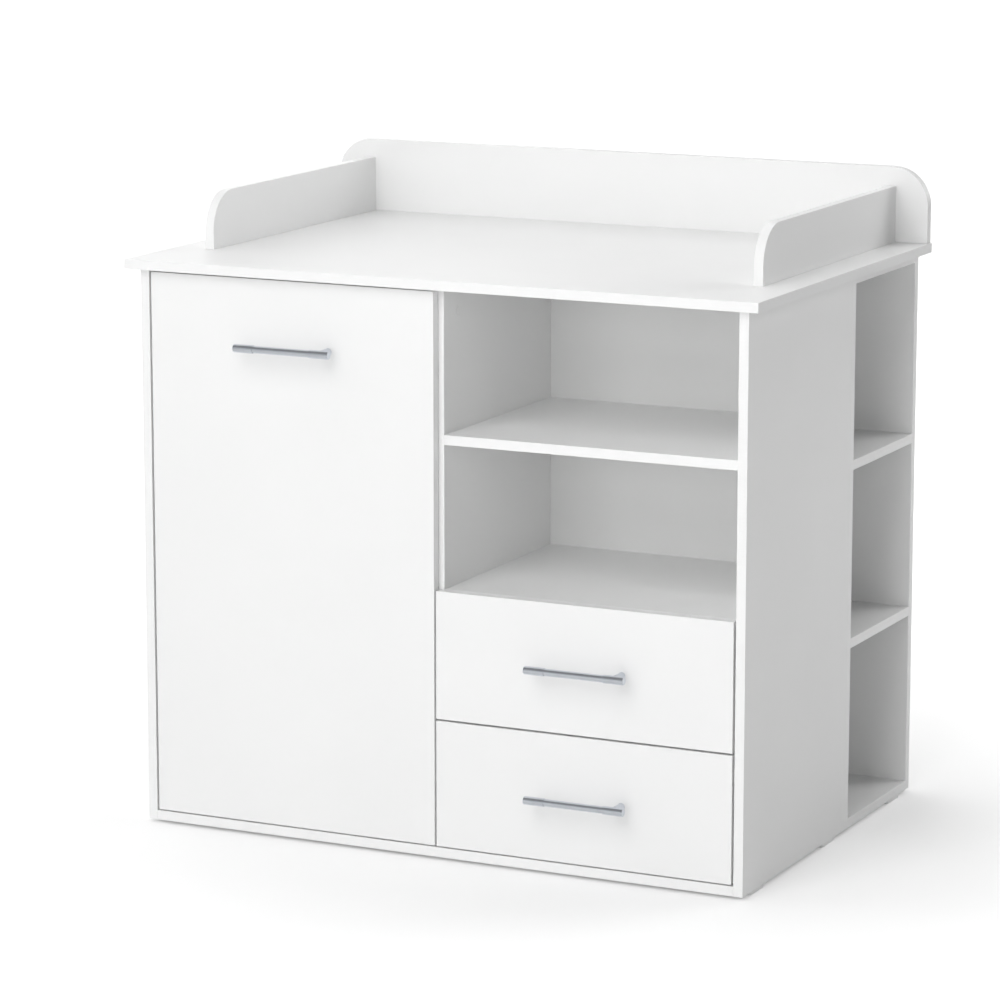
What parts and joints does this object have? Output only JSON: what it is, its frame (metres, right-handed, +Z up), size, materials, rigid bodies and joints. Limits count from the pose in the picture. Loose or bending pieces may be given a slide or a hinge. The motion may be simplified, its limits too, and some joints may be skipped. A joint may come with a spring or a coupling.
{
  "type": "changing table",
  "caption": "Changing table on a dresser with a hinged door, sliding drawers and open shelves, a shelf unit behind open at the sides, and a railed top.",
  "frame": {"origin": "centre of the bounding box on the floor, under the glides", "axes": "+X along the width, to the right as seen from the front; +Y from the fronts to the back; +Z up"},
  "size_m": [1.04, 0.7282, 1.002],
  "materials": {
    "melamine": "white melamine-faced chipboard, satin, with matching edge banding",
    "hdf": "white lacquered hardboard, matt",
    "handle_metal": "satin nickel-plated metal",
    "hinge_steel": "nickel-plated pressed steel",
    "runner_enamel": "white epoxy-coated steel sheet",
    "glide_plastic": "pale grey moulded plastic"
  },
  "bodies": {
    "cabinet": {"back_panel": "hdf", "bottom_panel": "melamine", "cabinet_runner_lower_left": "runner_enamel", "cabinet_runner_lower_right": "runner_enamel", "cabinet_runner_upper_left": "runner_enamel", "cabinet_runner_upper_right": "runner_enamel", "divider": "melamine", "door_shelf_lower": "melamine", "door_shelf_upper": "melamine", "fixed_shelf": "melamine", "glide_left_centre": "glide_plastic", "glide_left_front": "glide_plastic", "glide_left_rear": "glide_plastic", "glide_middle_centre": "glide_plastic", "glide_middle_front": "glide_plastic", "glide_right_centre": "glide_plastic", "glide_right_front": "glide_plastic", "glide_right_rear": "glide_plastic", "hinge_arm_lower": "hinge_steel", "hinge_arm_upper": "hinge_steel", "open_shelf": "melamine", "rail_back": "melamine", "rail_left": "melamine", "rail_right": "melamine", "side_panel_left": "melamine", "side_panel_right": "melamine", "top_front": "melamine", "top_rear": "melamine", "unit_ceiling": "melamine", "unit_floor": "melamine", "unit_front_wall": "melamine", "unit_partition": "melamine", "unit_rear_wall": "melamine", "unit_shelf_left_lower": "melamine", "unit_shelf_left_upper": "melamine", "unit_shelf_right_lower": "melamine", "unit_shelf_right_upper": "melamine"},
    "hinge_links": {"hinge_link_lower": "hinge_steel", "hinge_link_upper": "hinge_steel"},
    "door": {"door_handle": "handle_metal", "door_panel": "melamine", "hinge_cup_lower": "hinge_steel", "hinge_cup_upper": "hinge_steel"},
    "drawer_lower": {"drawer_lower_back": "melamine", "drawer_lower_bottom": "hdf", "drawer_lower_front": "melamine", "drawer_lower_handle": "handle_metal", "drawer_lower_runner_left": "runner_enamel", "drawer_lower_runner_right": "runner_enamel", "drawer_lower_side_left": "melamine", "drawer_lower_side_right": "melamine"},
    "drawer_upper": {"drawer_upper_back": "melamine", "drawer_upper_bottom": "hdf", "drawer_upper_front": "melamine", "drawer_upper_handle": "handle_metal", "drawer_upper_runner_left": "runner_enamel", "drawer_upper_runner_right": "runner_enamel", "drawer_upper_side_left": "melamine", "drawer_upper_side_right": "melamine"}
  },
  "joints": [
    {"name": "link_swing", "type": "hinge", "parent": "cabinet", "child": "hinge_links", "pos_m": [-0.43975, -0.30538, 0.44425], "axis": [0, 0, -1], "range_deg": [0, 12]},
    {"name": "door_swing", "type": "hinge", "parent": "hinge_links", "child": "door", "pos_m": [-0.45575, -0.32062, 0.44425], "axis": [0, 0, -1], "range_deg": [0, 83]},
    {"name": "drawer_lower_slide", "type": "slide", "parent": "cabinet", "child": "drawer_lower", "axis": [0, -1, 0], "range_m": [0, 0.26]},
    {"name": "drawer_upper_slide", "type": "slide", "parent": "cabinet", "child": "drawer_upper", "axis": [0, -1, 0], "range_m": [0, 0.26]}
  ],
  "couplings": [
    {"joint": "link_swing", "follows": "door_swing", "ratio": 0.14458}
  ]
}
